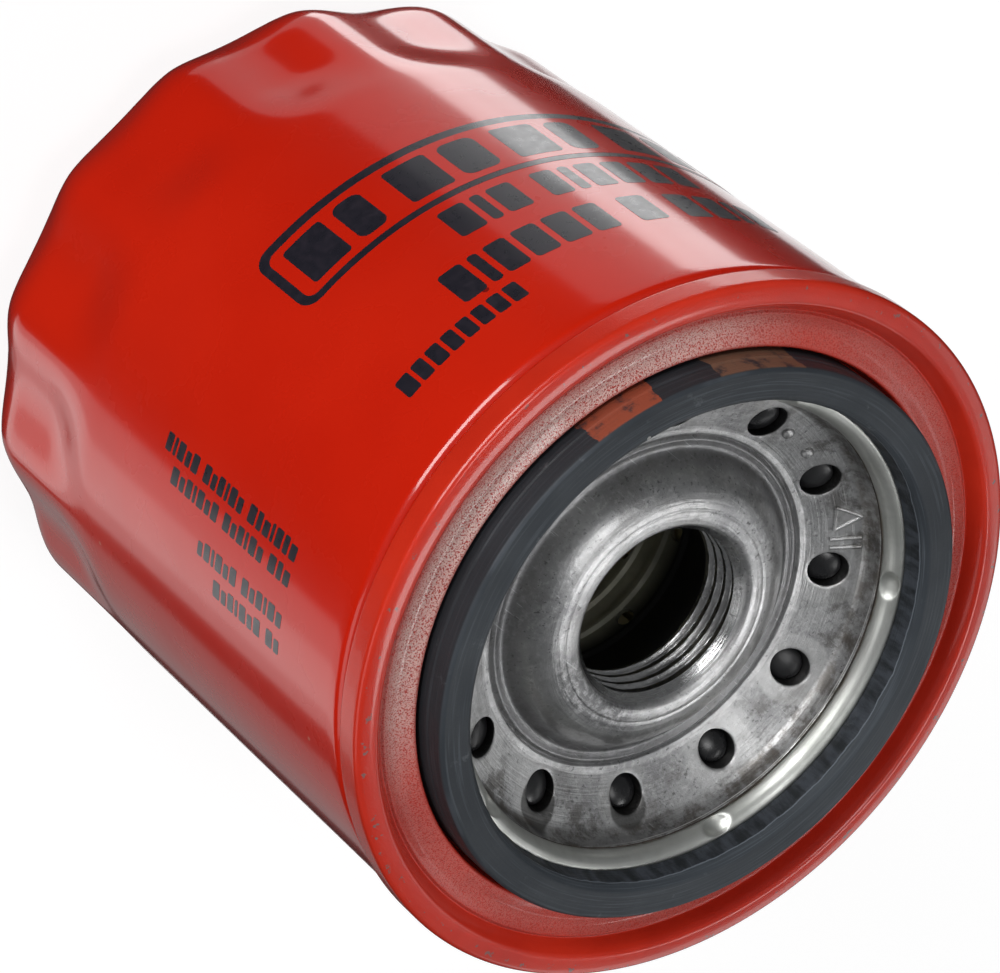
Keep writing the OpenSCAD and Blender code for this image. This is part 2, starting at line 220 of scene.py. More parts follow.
class Shade:
    """A Principled material that is built up node by node."""

    def __init__(self, name):
        self.material = bpy.data.materials.new(name)
        self.material.use_nodes = True
        self.tree = self.material.node_tree
        self.tree.nodes.clear()
        self.shader = self.node("BsdfPrincipled")
        out = self.node("OutputMaterial")
        self.tree.links.new(self.shader.outputs[0], out.inputs[0])
        self.place = self.node("TexCoord").outputs["Object"]

    def node(self, kind, **settings):
        made = self.tree.nodes.new("ShaderNode" + kind)
        for key, value in settings.items():
            setattr(made, key, value)
        return made

    def feed(self, socket, value):
        if isinstance(value, bpy.types.NodeSocket):
            self.tree.links.new(value, socket)
        else:
            socket.default_value = value

    def set(self, **values):
        for key, value in values.items():
            self.feed(self.shader.inputs[key.replace("_", " ")], value)

    def noise(self, scale, detail=4.0, rough=0.55, stretch=None, place=None):
        made = self.node("TexNoise")
        self.feed(made.inputs["Vector"], self.stretched(stretch, place))
        made.inputs["Scale"].default_value = scale
        made.inputs["Detail"].default_value = detail
        made.inputs["Roughness"].default_value = rough
        return made.outputs["Fac"]

    def stretched(self, stretch, place):
        place = place or self.place
        if not stretch:
            return place
        made = self.node("VectorMath", operation="MULTIPLY")
        self.feed(made.inputs[0], place)
        made.inputs[1].default_value = stretch
        return made.outputs[0]

    def math(self, kind, a, b=0.0, c=0.0):
        made = self.node("Math", operation=kind)
        for socket, value in zip(made.inputs, (a, b, c)):
            self.feed(socket, value)
        return made.outputs[0]

    def both(self, a, b):
        """The product of a and b; of two masks, where both hold."""
        return self.math("MULTIPLY", a, b)

    def span(self, value, low, high, out_low=0.0, out_high=1.0):
        """value mapped from low..high to out_low..out_high, held at the ends."""
        made = self.node("MapRange", interpolation_type="SMOOTHSTEP")
        self.feed(made.inputs[0], value)
        for socket, number in zip(made.inputs[1:5], (low, high, out_low, out_high)):
            self.feed(socket, number)
        return made.outputs[0]

    def mix(self, share, a, b):
        made = self.node("Mix", data_type="RGBA")
        self.feed(made.inputs[0], share)
        for socket, value in ((made.inputs[6], a), (made.inputs[7], b)):
            self.feed(socket, value if isinstance(value, bpy.types.NodeSocket) else (*value, 1))
        return made.outputs[2]

    def bump(self, height, distance, strength=1.0, under=None):
        made = self.node("Bump")
        self.feed(made.inputs["Height"], height)
        made.inputs["Distance"].default_value = distance
        made.inputs["Strength"].default_value = strength
        if under:
            self.feed(made.inputs["Normal"], under)
        return made.outputs[0]

    def xyz(self):
        made = self.node("SeparateXYZ")
        self.feed(made.inputs[0], self.place)
        return made.outputs

    def radius(self):
        """Distance from the filter's axis, in millimetres."""
        x, y, _ = self.xyz()
        return self.both(self.distance(x, y), 1 / MM)

    def distance(self, across, along):
        """Length of the vector (across, along)."""
        return self.math("SQRT", self.math("ADD", self.both(across, across), self.both(along, along)))

    def height(self):
        """Height above the dome's rest face, in millimetres."""
        return self.both(self.xyz()[2], 1 / MM)

    def angle(self):
        """Angle round the axis, in degrees from -180 to 180."""
        x, y, _ = self.xyz()
        return self.both(self.math("ARCTAN2", y, x), 180 / math.pi)

    def round_place(self, along):
        """Coordinates that change slowly round the axis and quickly with radius and height."""
        x, y, z = self.xyz()
        made = self.node("CombineXYZ")
        self.feed(made.inputs[0], self.both(x, along))
        self.feed(made.inputs[1], self.both(y, along))
        self.feed(made.inputs[2], self.math("ADD", self.both(self.radius(), MM), z))
        return made.outputs[0]


def specks(shade, scale, size, share):
    """1 inside small scattered specks: cells of that scale, radius size, kept for a share of them."""
    cell = shade.node("TexVoronoi")
    shade.feed(cell.inputs["Vector"], shade.place)
    cell.inputs["Scale"].default_value = scale
    chosen = shade.node("SeparateColor")
    shade.feed(chosen.inputs[0], cell.outputs["Color"])
    kept = shade.math("LESS_THAN", chosen.outputs[0], share)
    return shade.both(kept, shade.math("LESS_THAN", cell.outputs["Distance"], size))


# ---------- Materials ----------

def can_paint():
    """Glossy red enamel with orange peel, dust under the paint and a few chips."""
    s = Shade("can_red_enamel")
    drift = s.span(s.noise(28, 3), 0.35, 0.7)
    red = s.mix(drift, (0.53, 0.0115, 0.0021), (0.58, 0.0150, 0.0030))
    dust = specks(s, 260, 0.07, 0.05)
    chips = specks(s, 150, 0.06, 0.03)
    red = s.mix(dust, red, (0.60, 0.15, 0.11))
    red = s.mix(chips, red, (0.20, 0.006, 0.004))
    peel = s.noise(420, 2, 0.4)
    waves = s.noise(60, 2, 0.4)
    low = s.bump(waves, 0.00040, 0.35)
    s.set(Base_Color=red, Roughness=s.span(s.noise(90, 4), 0.3, 0.75, 0.22, 0.34),
          Normal=s.bump(s.math("ADD", peel, s.both(dust, 1.5)), 0.00003, 0.5, low))
    s.set(Coat_Weight=1.0, Coat_Roughness=0.11, Coat_IOR=1.5, Specular_IOR_Level=0.12)
    return s.material


def lid_paint():
    """Enamel that is glossy on the seam and gritty with overspray between the seam and the gasket, where
    the pale grains also carry a painted highlight.
    """
    s = Shade("lid_red_enamel")
    r = s.radius()
    grain = s.noise(6000, 3, 0.7)
    fine = s.noise(8500, 2, 0.6)
    band = s.both(s.span(r, GASKET_R + 0.25, GASKET_R + 1.1), s.span(r, 34.75, 34.95, 1.0, 0.0))
    patch = s.span(s.noise(90, 3), 0.3, 0.7, 0.75, 1.0)
    # Painted highlight: the pale overspray grains are full on the -y side, faint elsewhere, and fade
    # towards the seam.
    near = s.span(s.xyz()[1], -0.029, -0.012, 1.0, 0.16)
    middle = s.both(band, s.span(r, 33.4, 34.9, 1.0, 0.35))
    light = s.both(s.both(s.span(grain, 0.41, 0.50), middle), patch)
    dark = s.both(s.span(fine, 0.56, 0.66), band)
    red = s.mix(s.span(s.noise(70, 4), 0.3, 0.7), (0.50, 0.020, 0.007), (0.60, 0.028, 0.010))
    overspray_and_highlight = s.both(light, near)
    red = s.mix(overspray_and_highlight, red, (0.97, 0.72, 0.66))
    red = s.mix(s.both(dark, 0.5), red, (0.12, 0.010, 0.008))
    fold = s.both(s.span(r, 36.9, 37.2), s.span(r, 37.9, 38.2, 1.0, 0.0))
    chip = s.both(fold, s.span(s.noise(900, 4, 0.6), 0.62, 0.66))
    chip = s.both(chip, s.span(s.height(), SEAM_TOP - 0.9, SEAM_TOP - 0.5))
    red = s.mix(chip, red, (0.20, 0.10, 0.09))
    grit = s.both(grain, s.math("ADD", s.both(band, 0.7), 0.25))
    waves = s.bump(s.noise(350, 3), 0.00006, 0.5)
    s.set(Base_Color=red, Roughness=s.math("ADD", s.both(band, 0.16), 0.22),
          Normal=s.bump(grit, 0.00014, 1.0, waves))
    s.set(Coat_Weight=0.5, Coat_Roughness=0.10, Specular_IOR_Level=0.25)
    return s.material


def lip_steel():
    """Bare rolled lip beside the gasket: bright, with fine drawn lines and dirt at its foot."""
    s = Shade("lip_bright_steel")
    lines = s.noise(3500, 3, 0.6, place=s.round_place(0.03))
    smear = s.noise(140, 4)
    tone = s.mix(s.span(smear, 0.35, 0.7), (0.64, 0.65, 0.62), (0.44, 0.45, 0.425))
    foot = s.span(s.height(), COLLAR_TOP + 0.2, COLLAR_TOP + 0.7, 1.0, 0.0)
    dirt = s.both(foot, s.span(s.noise(300, 4), 0.4, 0.6))
    s.set(Base_Color=s.mix(dirt, tone, (0.22, 0.18, 0.13)),
          Roughness=s.span(smear, 0.3, 0.75, 0.38, 0.52),
          Normal=s.bump(lines, 0.00003, 0.6))
    s.set(Metallic=1.0)
    return s.material


def dish_floor(s):
    """The height of the dished ring's face as shader nodes, the same curve as dish_z."""
    share = s.math("DIVIDE", s.math("SUBTRACT", s.radius(), DISH_IN), DISH_OUT - DISH_IN)
    curve = s.both(share, s.math("MULTIPLY_ADD", share, 0.45, 2.55))
    return s.math("ADD", curve, DISH_FOOT)


def inlet_marks(s, tone, smear):
    """Pale halos round the inlet holes, and dark drips beside those from -4 to 56 degrees."""
    pitch = 360 / INLETS
    turn = s.math("FLOORED_MODULO", s.math("SUBTRACT", s.angle(), INLET_ANGLE - pitch / 2), pitch)
    across = s.both(s.math("SUBTRACT", turn, pitch / 2), INLET_CIRCLE * math.pi / 180)
    along = s.math("SUBTRACT", s.radius(), INLET_CIRCLE)
    wander = s.both(smear, 1.4)
    away = s.math("ADD", s.distance(across, along), wander)
    halo = s.both(s.span(away, 4.3, 4.7, 1.0, 0.0), s.span(s.noise(70, 2), 0.45, 0.6))
    halo = s.both(halo, s.span(s.radius(), 19.2, 19.5))
    tone = s.mix(s.both(halo, 0.45), tone, (0.60, 0.60, 0.595))
    drip = s.math("ADD", s.distance(across, s.math("SUBTRACT", along, 1.0)), wander)
    drip = s.both(s.span(drip, 3.1, 2.8), s.math("COMPARE", s.angle(), 26.0, 30.0))
    return s.mix(s.both(drip, 0.8), tone, (0.08, 0.078, 0.075))


def rim_marks(s, tone, smear):
    """Brown dirt at the plate's rim, a torn bright burr on its collar, and painted shade on the hole
    walls.
    """
    r, z = s.radius(), s.height()
    rim = s.both(s.span(r, 24.2, 24.9, 0.0, 0.65), s.span(s.noise(380, 5, 0.7), 0.44, 0.6))
    tone = s.mix(rim, tone, (0.13, 0.11, 0.09))
    wall = s.both(s.span(r, 24.75, 24.9), s.span(s.noise(60, 2), 0.50, 0.56))
    burr = s.math("COMPARE", s.math("ADD", z, s.both(smear, 0.3)), COLLAR_TOP - 0.15, 0.06)
    tone = s.mix(s.both(wall, burr), tone, (0.75, 0.75, 0.74))
    # Painted shade: the walls of the inlet holes below the dish's face are made near black.
    bottom = s.span(s.math("SUBTRACT", z, dish_floor(s)), -0.25, -0.05, 1.0, 0.0)
    hole = s.both(bottom, s.span(r, 19.4, 19.5))
    return s.mix(s.both(hole, 0.8), tone, (0.035, 0.033, 0.032))


def plate_steel():
    """Thick pressed steel: dull grain, rolling smears, dark stains, small scratches, painted shade in the
    valley round the boss, and a speckled patch painted darker on one side of the boss.
    """
    s = Shade("plate_pressed_steel")
    r = s.radius()
    grain = s.noise(1500, 5, 0.7)
    smear = s.noise(95, 5, 0.6)
    turnings = s.noise(3000, 3, 0.6, place=s.round_place(0.04))
    tone = s.mix(s.span(smear, 0.32, 0.72), (0.52, 0.52, 0.52), (0.30, 0.30, 0.305))
    tone = s.mix(s.span(grain, 0.45, 0.75, 0.0, 0.6), tone, (0.68, 0.68, 0.68))
    # Painted shade in the valley between the boss and the dish.
    valley_shade = s.both(s.span(r, 14.6, 16.6), s.span(r, 18.9, 17.9))
    tone = s.mix(s.both(valley_shade, 0.6), tone, (0.13, 0.13, 0.135))
    stain = s.both(s.span(s.noise(210, 6, 0.7), 0.48, 0.62), s.span(r, 18.5, 24.5, 0.30, 1.0))
    tone = s.mix(s.both(stain, 0.75), tone, (0.105, 0.097, 0.088))
    pits = s.both(s.span(s.noise(1900, 4, 0.7), 0.58, 0.66), s.span(smear, 0.35, 0.65, 0.3, 0.9))
    tone = s.mix(pits, tone, (0.12, 0.12, 0.12))
    # A speckled patch on one side of the boss is painted darker.
    aside = s.math("ABSOLUTE", s.math("SUBTRACT", s.angle(), -5.0))
    patchy_mask = s.both(s.both(s.span(r, 9.6, 10.3), s.span(r, 13.8, 12.4)), s.span(aside, 46.0, 24.0))
    patchy_mask = s.both(patchy_mask, s.span(s.noise(1300, 5, 0.75), 0.36, 0.58, 0.35, 0.85))
    tone = s.mix(patchy_mask, tone, (0.10, 0.10, 0.103))
    tone = inlet_marks(s, tone, smear)
    scratch = s.span(s.noise(520, 2, 0.4, stretch=(9, 0.5, 1)), 0.70, 0.74)
    tone = s.mix(s.both(scratch, 0.4), tone, (0.62, 0.63, 0.64))
    tone = rim_marks(s, tone, smear)
    polished = s.both(s.span(r, 16.5, 15.2), 0.08)
    thread = s.both(s.span(r, THREAD_R + 0.75, THREAD_R + 0.6), 0.10)
    rough = s.math("SUBTRACT", s.span(smear, 0.3, 0.75, 0.38, 0.50), polished)
    fine = s.math("ADD", grain, turnings)
    s.set(Base_Color=tone, Roughness=s.math("SUBTRACT", rough, thread),
          Normal=s.bump(fine, 0.00007, 0.7, s.bump(smear, 0.0003, 0.12)))
    s.set(Metallic=1.0)
    return s.material


def gasket_rubber():
    """Blue-grey rubber: finely ringed face, painted shade in the mottled bore and on the outer wall, and
    two worn marks on the outside.
    """
    s = Shade("gasket_nitrile")
    r, z, a = s.radius(), s.height(), s.angle()
    rings = s.noise(4500, 3, 0.6, place=s.round_place(0.02))
    tone = s.mix(s.span(s.noise(55, 3), 0.3, 0.7), (0.026, 0.031, 0.037), (0.040, 0.047, 0.055))
    tone = s.mix(s.span(rings, 0.5, 0.75, 0.0, 0.55), tone, (0.085, 0.097, 0.112))
    mottle = s.span(s.noise(800, 5, 0.65, stretch=(1, 1, 0.25)), 0.35, 0.65)
    ragged = s.both(s.math("SUBTRACT", s.noise(260, 4), 0.5), 0.6)
    inside = s.span(r, 27.5, 27.3)
    brink_z = s.math("ADD", z, ragged)
    # Painted shade: the bore below its brink goes near black, broken up by mottling.
    bore_shade = s.both(s.span(brink_z, BRINK_Z, BRINK_Z - 0.15), inside)
    tone = s.mix(bore_shade, tone, s.mix(mottle, (0.010, 0.012, 0.014), (0.036, 0.041, 0.050)))
    brink = s.both(s.math("COMPARE", brink_z, BRINK_Z, 0.07), inside)
    tone = s.mix(s.both(brink, 0.5), tone, (0.17, 0.19, 0.22))
    # Painted shade: the outer wall below the face is made darker than the face.
    wall = s.both(s.span(r, GASKET_R - 0.25, GASKET_R - 0.12),
                  s.span(z, FACE_Z - 0.25, FACE_Z - 0.45))
    tone = s.mix(s.both(wall, 0.6), tone, (0.012, 0.013, 0.015))
    scuff = s.span(s.noise(420, 5, 0.7), 0.62, 0.74)
    tone = s.mix(s.both(scuff, 0.35), tone, (0.15, 0.16, 0.17))
    dust = specks(s, 330, 0.08, 0.05)
    tone = s.mix(dust, tone, (0.32, 0.32, 0.31))
    edge = s.math("ADD", a, s.both(s.math("SUBTRACT", s.noise(350, 4), 0.5), 4.0))
    patchy_mask = s.span(s.noise(600, 5, 0.65), 0.30, 0.50)
    orange = s.both(wall, s.math("COMPARE", edge, -114.0, 7.5))
    brown = s.both(wall, s.math("COMPARE", edge, -143.0, 9.5))
    tone = s.mix(s.both(orange, patchy_mask), tone, (0.24, 0.055, 0.028))
    tone = s.mix(s.both(brown, patchy_mask), tone, (0.13, 0.070, 0.045))
    s.set(Base_Color=tone, Roughness=s.span(s.noise(160, 4), 0.3, 0.7, 0.46, 0.62),
          Normal=s.bump(rings, 0.00008, 0.7, s.bump(mottle, 0.00003, 0.4)))
    s.set(Specular_IOR_Level=0.22)
    return s.material


def black_rubber():
    """Black flap rubber with an oily sheen."""
    s = Shade("valve_black_nitrile")
    haze = s.noise(240, 4)
    s.set(Base_Color=s.mix(s.span(haze, 0.35, 0.7), (0.008, 0.008, 0.009), (0.020, 0.020, 0.021)),
          Roughness=s.span(haze, 0.3, 0.7, 0.24, 0.38),
          Normal=s.bump(s.noise(900, 3), 0.00003, 0.4))
    s.set(Specular_IOR_Level=0.5)
    return s.material


def print_ink():
    """Dark glossy ink, slightly worn."""
    s = Shade("print_dark_ink")
    wear = s.noise(900, 4, 0.6)
    s.set(Base_Color=s.mix(s.span(wear, 0.4, 0.75), (0.013, 0.012, 0.018), (0.019, 0.015, 0.023)),
          Roughness=s.span(wear, 0.3, 0.75, 0.26, 0.40), Normal=s.bump(wear, 0.00001, 0.4))
    s.set(Coat_Weight=0.55, Coat_Roughness=0.12)
    return s.material


def sheet_steel(name, light, dark):
    """Plain inner metal: two tones, smears and fine scratches."""
    s = Shade(name)
    smear = s.noise(150, 5, 0.6)
    fine = s.noise(1300, 3, 0.6)
    tone = s.mix(s.span(smear, 0.35, 0.7), light, dark)
    s.set(Base_Color=s.mix(s.span(fine, 0.55, 0.8, 0.0, 0.3), tone, dark),
          Roughness=s.span(smear, 0.3, 0.75, 0.28, 0.45), Normal=s.bump(fine, 0.00003, 0.4))
    s.set(Metallic=1.0)
    return s.material


def tube_steel():
    """Dull perforated tube, with painted shade that turns it near black towards the neck."""
    s = Shade("tube_steel_painted_shade")
    smear = s.noise(150, 5, 0.6)
    plain_tone = s.mix(s.span(smear, 0.35, 0.7), (0.58, 0.57, 0.46), (0.40, 0.39, 0.31))
    # Painted shade: near black above 58 mm, where little light reaches inside the tube.
    painted_shade_top = s.span(s.height(), 58.0, 61.5)
    s.set(Base_Color=s.mix(painted_shade_top, plain_tone, (0.016, 0.016, 0.015)),
          Roughness=s.span(smear, 0.3, 0.75, 0.50, 0.66), Normal=s.bump(s.noise(900, 3), 0.00004, 0.5))
    s.set(Metallic=0.35)
    return s.material


def soft_solid(name, light, dark, scale, rough):
    """Plain inner non-metal with blotches and a fine fibrous bump."""
    s = Shade(name)
    blotch = s.noise(scale, 5, 0.6)
    fibre = s.noise(scale * 9, 4, 0.7, stretch=(1, 1, 3))
    tone = s.mix(s.span(blotch, 0.3, 0.7), light, dark)
    s.set(Base_Color=s.mix(s.span(fibre, 0.5, 0.8, 0.0, 0.35), tone, dark),
          Roughness=s.span(blotch, 0.3, 0.7, rough - 0.1, rough + 0.12),
          Normal=s.bump(fibre, 0.00008, 0.6))
    return s.material


def floor_paint():
    """Matt white that glows a little, so that the floor stays pale in shade."""
    s = Shade("studio_floor")
    tone = s.noise(3, 2)
    s.set(Base_Color=s.mix(tone, (0.20, 0.20, 0.20), (0.23, 0.23, 0.23)), Roughness=0.9)
    s.set(Specular_IOR_Level=0.0, Emission_Color=(1, 1, 1, 1), Emission_Strength=0.86)
    return s.material


# ---------- Can ----------

def flute_share(z):
    """How deep the flutes are at that height, from 0 to 1."""
    return smooth(z / 6) * smooth((FLUTE_TOP - z) / 10)


def flute_wave(a):
    """0 on a ridge and 1 in a hollow; the ridges are narrower than the hollows."""
    return (0.5 + 0.5 * math.cos(FLUTES * a)) ** 0.85


def can_section(t):
    """The can's section from its middle outwards and up to the seam, t inside the outer face."""
    side = CAN_R - t
    bend = DOME_R - t
    dome = [(CAN_R - DOME_R + bend * math.sin(b), DOME_R - bend * math.cos(b))
            for b in [math.pi / 2 * k / 18 for k in range(19)]]
    middle = fillet([(0.01, 0.8 + t), (17.6, 0.8 + t, 1.2), (19.6, t, 1.2), (dome[0][0], t)], 5)
    neck = fillet([(side, FLUTE_TOP), (side, SEAM_BOTTOM - 1.3, 1.2),
                   (CAN_R - 1.25 - t, SEAM_BOTTOM - 0.5, 0.6), (CAN_R - 1.3 - t, SEAM_BOTTOM + 0.8)], 5)
    return dense(middle[:-1] + dome + neck, 1.1, 0.0, FLUTE_TOP + 1)


def can_push(a, r, z):
    """Presses the wrench flutes into the can's side."""
    r -= FLUTE_DEPTH * flute_share(z) * flute_wave(a)
    return (r * math.cos(a), r * math.sin(a), z)


def make_can(paint):
    """The can's shell. It also stands for the compound inside the seam, which can't be seen."""
    outside, inside = can_section(0), can_section(0.6)
    profile = outside + [inside[-1]] + inside[::-1]
    return lathe("can_shell", profile, "housing", segments=FLUTES * 24, closed=False, push=can_push,
                 sharp=50, materials=[paint], slot="can_paint", stands_for=["can", "seam_compound"])


# ---------- Lid ----------

LIP_R = 25.1
LIP_TOP = FACE_Z - 3.1
COLLAR_TOP = LIP_TOP - 2.05
STAKE_BALL = 2.3
STAKE_CENTRES = [polar(LIP_R - 1.05, STAKE_ANGLE + 360 / STAKES * k, LIP_TOP + 0.4)
                 for k in range(STAKES)]


def lid_section():
    """Corners of the lid's whole section, from the seam's lower edge over the top and back."""
    face = [(SEAM_R - 0.55, SEAM_BOTTOM, 0.25), (SEAM_R, SEAM_BOTTOM + 0.12, 0.45),
            (SEAM_R, SEAM_TOP - 0.35, 1.1), (SEAM_R - 1.2, SEAM_TOP - 0.05, 0.6),
            (SEAM_R - 2.35, SEAM_TOP, 0.45), (SEAM_R - 3.0, SEAM_TOP - 0.9, 0.3),
            (SEAM_R - 3.65, SEAM_TOP - 1.95, 0.30), (SEAM_R - 3.95, SEAM_TOP - 1.55, 0.14),
            (SEAM_R - 5.4, SEAM_TOP - 2.1, 1.2), (GASKET_R + 0.5, FACE_Z - 3.35, 0.5),
            (GASKET_R + 0.12, CHANNEL_Z + 0.6, 0.3), (GASKET_R + 0.05, CHANNEL_Z - 0.05, 0.2)]
    lip = [(LIP_R + 1.3, CHANNEL_Z - 0.05, 0.3), (LIP_R + 0.92, CHANNEL_Z + 0.5, 0.4),
           (LIP_R + 1.15, LIP_TOP - 1.1, 0.4)]
    bead = [(1.62, -0.42), (1.66, -0.15), (1.48, 0.05), (1.15, 0.04), (0.70, -0.20), (0.30, -0.62),
            (0.05, -1.15), (-0.05, -1.66), (0.12, -1.92), (0.55, -1.98)]
    lip = dense(fillet(lip, 7) + spline([(LIP_R + r, LIP_TOP + z) for r, z in bead], 4), 0.25)
    lip.append((LIP_R + 0.78, PLATE_TOP + 0.02))
    under = [(GASKET_R + 0.9, PLATE_TOP + 0.02), (GASKET_R + 0.9, FACE_Z - 4.4),
             (SEAM_R - 5.3, FACE_Z - 4.9), (SEAM_R - 3.5, SEAM_TOP - 2.6),
             (SEAM_R - 2.5, SEAM_TOP - 1.6), (SEAM_R - 2.4, SEAM_TOP - 0.6),
             (SEAM_R - 0.6, SEAM_TOP - 0.6), (SEAM_R - 0.6, SEAM_BOTTOM + 0.6),
             (SEAM_R - 1.2, SEAM_BOTTOM + 0.6), (SEAM_R - 1.6, SEAM_BOTTOM + 0.1, 0.2)]
    return dense(fillet(face + [lip[0]], 7), 0.6)[:-1] + lip + fillet(under, 7)


def staked(p):
    """The point, pushed out of the punch's ball if it lies in one of the stakes."""
    for centre in STAKE_CENTRES:
        off = p - centre
        if off.length < STAKE_BALL:
            return centre + off.normalized() * STAKE_BALL
    return p


def lid_push(a, r, z):
    """Presses the stakes into the lip."""
    p = Vector((r * math.cos(a), r * math.sin(a), z))
    return tuple(staked(p) if r < LIP_R + 2.2 and z > LIP_TOP - 2.5 else p)


def make_lid(paint, steel):
    """The lid in one shell, painted outside the gasket and bare inside it."""
    lid = lathe("seaming_lid_shell", lid_section(), "housing", segments=576, push=lid_push, sharp=40,
                materials=[steel, paint], slot="lid_paint", stands_for=["seaming_lid"])
    for face in lid.data.polygons:
        far = math.hypot(face.center.x, face.center.y) / MM
        face.material_index = PAINT if far > GASKET_R - 1 else STEEL


# ---------- Gasket ----------

def make_gasket(rubber):
    """The rubber ring: a sharp outer edge, moulded rings on its face and a rough bore."""
    corners = [(GASKET_R, CHANNEL_Z), (GASKET_R, FACE_Z - 2.6, 0.2),
               (GASKET_R - 0.12, FACE_Z - 2.4, 0.1), (GASKET_R - 0.1, FACE_Z - 0.35, 0.3),
               (GASKET_R - 0.45, FACE_Z - 0.02, 0.25)]
    lines = [GASKET_R - 0.75 - 0.42 * k for k in range(6)]
    for r in lines:
        corners += [(r + 0.06, FACE_Z), (r, FACE_Z - 0.014), (r - 0.06, FACE_Z)]
    corners += [(BORE_R + 0.55, FACE_Z - 0.05, 0.4), (BORE_R, FACE_Z - 0.62, 0.15),
                (BORE_R - 0.12, FACE_Z - 1.3, 0.1), (BORE_R - 0.18, FACE_Z - 2.4, 0.2),
                (LIP_R + 1.40, LIP_TOP + 0.15, 0.15), (LIP_R + 1.85, LIP_TOP - 0.35, 0.1),
                (LIP_R + 1.5, LIP_TOP - 1.2, 0.3), (LIP_R + 1.4, CHANNEL_Z)]

    def push(a, r, z):
        low = smooth((FACE_Z - 0.3 - z) / 0.8) * smooth((z - LIP_TOP + 0.5) / 0.6)
        if r < BORE_R + 0.3:
            r += 0.08 * low * noise.noise(Vector((math.cos(a) * 34, math.sin(a) * 34, z * 0.4)))
        return (r * math.cos(a), r * math.sin(a), z)

    return lathe("gasket_ring", fillet(corners, 5), "housing", segments=480, push=push, sharp=30,
                 materials=[rubber], slot="gasket_rubber", stands_for=["sealing_gasket"])


# ---------- Ring of inlet holes ----------

DISH_IN, DISH_OUT = 19.3, 25.3
DISH_FOOT = FACE_Z - 10.18
CELL_OUT = 24.3
FLAP_IN, FLAP_OUT = 19.5, 24.0
BULGE_R = INLET_R - 0.12
SECTOR_START = math.radians(INLET_ANGLE) - math.pi / INLETS
SECTOR_STEPS = 24


def dish_z(r):
    """Height of the dished ring's upper face: a gentle curve through the hole circle."""
    f = (r - DISH_IN) / (DISH_OUT - DISH_IN)
    return DISH_FOOT + 2.55 * f + 0.45 * f * f


def under_z(r):
    """Height of the dished ring's lower face."""
    return PLATE_Z0 + 0.1 + 0.523 * (r - 18.6)


def flap_z(r):
    """Height of the flap's face, just below the dished ring."""
    return under_z(r) - 0.35


def sector_border(hole, inner, outer):
    """(x, y) points round the sector of the ring that holds one inlet hole."""
    side_n = 12
    low = SECTOR_START + 2 * math.pi / INLETS * hole
    step = 2 * math.pi / INLETS / SECTOR_STEPS
    high = low + step * SECTOR_STEPS
    border = [(outer, low + step * k) for k in range(SECTOR_STEPS)]
    border += [(outer - (outer - inner) * k / side_n, high) for k in range(side_n)]
    border += [(inner, high - step * k) for k in range(SECTOR_STEPS)]
    border += [(inner + (outer - inner) * k / side_n, low) for k in range(side_n)]
    return [Vector((r * math.cos(a), r * math.sin(a))) for r, a in border]


def hole_ring(border, hole, radius):
    """The border's points pulled in to a circle round the hole's middle."""
    middle = polar(INLET_CIRCLE, INLET_ANGLE + 360 / INLETS * hole, 0).xy
    return [middle + (p - middle).normalized() * radius for p in border]


def on_face(points, face, drop=0.0):
    """The flat points put drop below a face of the ring."""
    return [(p.x, p.y, face(p.length) - drop) for p in points]


def between(outer, inner, share):
    """The row of points that lies share of the way from outer to inner."""
    return [a.lerp(b, share) for a, b in zip(outer, inner)]


def ring_of_cells(name, strips, cell):
    """One mesh from profiles turned about the axis, joined by a cell for every inlet hole."""
    bm = bmesh.new()
    for profile, push in strips:
        bm.from_mesh(from_grid(name, turned(profile, SECTOR_STEPS * INLETS, push, SECTOR_START)))
    for hole in range(INLETS):
        bm.from_mesh(from_grid(name, cell(hole)))
    mesh = bpy.data.meshes.new(name)
    bm.to_mesh(mesh)
    bm.free()
    return mesh


def valve_cell(hole):
    """Rows of points over one sector of the flap, from its border to the crown of its bulge."""
    border = sector_border(hole, FLAP_IN, FLAP_OUT)
    foot = hole_ring(border, hole, BULGE_R)
    rows = [on_face(between(border, foot, share), flap_z) for share in (0, 0.5, 1)]
    for share in (1.0, 0.98, 0.95, 0.9, 0.8, 0.65, 0.5, 0.35, 0.2, 0.08, 0.0004):
        drop = 0.62 + 0.50 * share ** 2 + 0.25 * share ** 16
        rows.append(on_face(hole_ring(border, hole, BULGE_R * share), dish_z, drop))
    return rows


def make_valve(rubber):
    """The flap under the inlet holes, which bulges up into each of them. It sits on the neck."""
    top, low = VALVE_Z1, VALVE_Z0
    corners = [(FLAP_OUT, flap_z(FLAP_OUT)), (25.3, top - 0.75, 0.5), (26.5, top - 0.05, 0.3),
               (27.4, top, 0.25), (28.0, top - 0.5, 0.25), (27.3, top - 1.1, 0.5), (20.6, low + 0.9, 0.8),
               (19.2, low, 0.6), (12.9, low), (12.9, low + 1.9, 0.3), (16.0, low + 2.0, 0.4),
               (19.0, low + 2.1, 0.3), (FLAP_IN, flap_z(FLAP_IN))]
    mesh = ring_of_cells("drainback_flap_ring", [(fillet(corners, 6), None)], valve_cell)
    valve = finish_piece(mesh, "drainback_flap_ring", "housing", sharp=60, materials=[rubber],
                         slot="valve_rubber", stands_for=["anti_drainback_valve"])
    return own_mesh(valve)


# ---------- Base plate ----------

WALL_TOP = BOSS_Z - 1.44
RIM = ((0.18, 0.01), (0.06, 0.05), (0.0, 0.14), (0.0, 0.5), (0.0, 1.2))


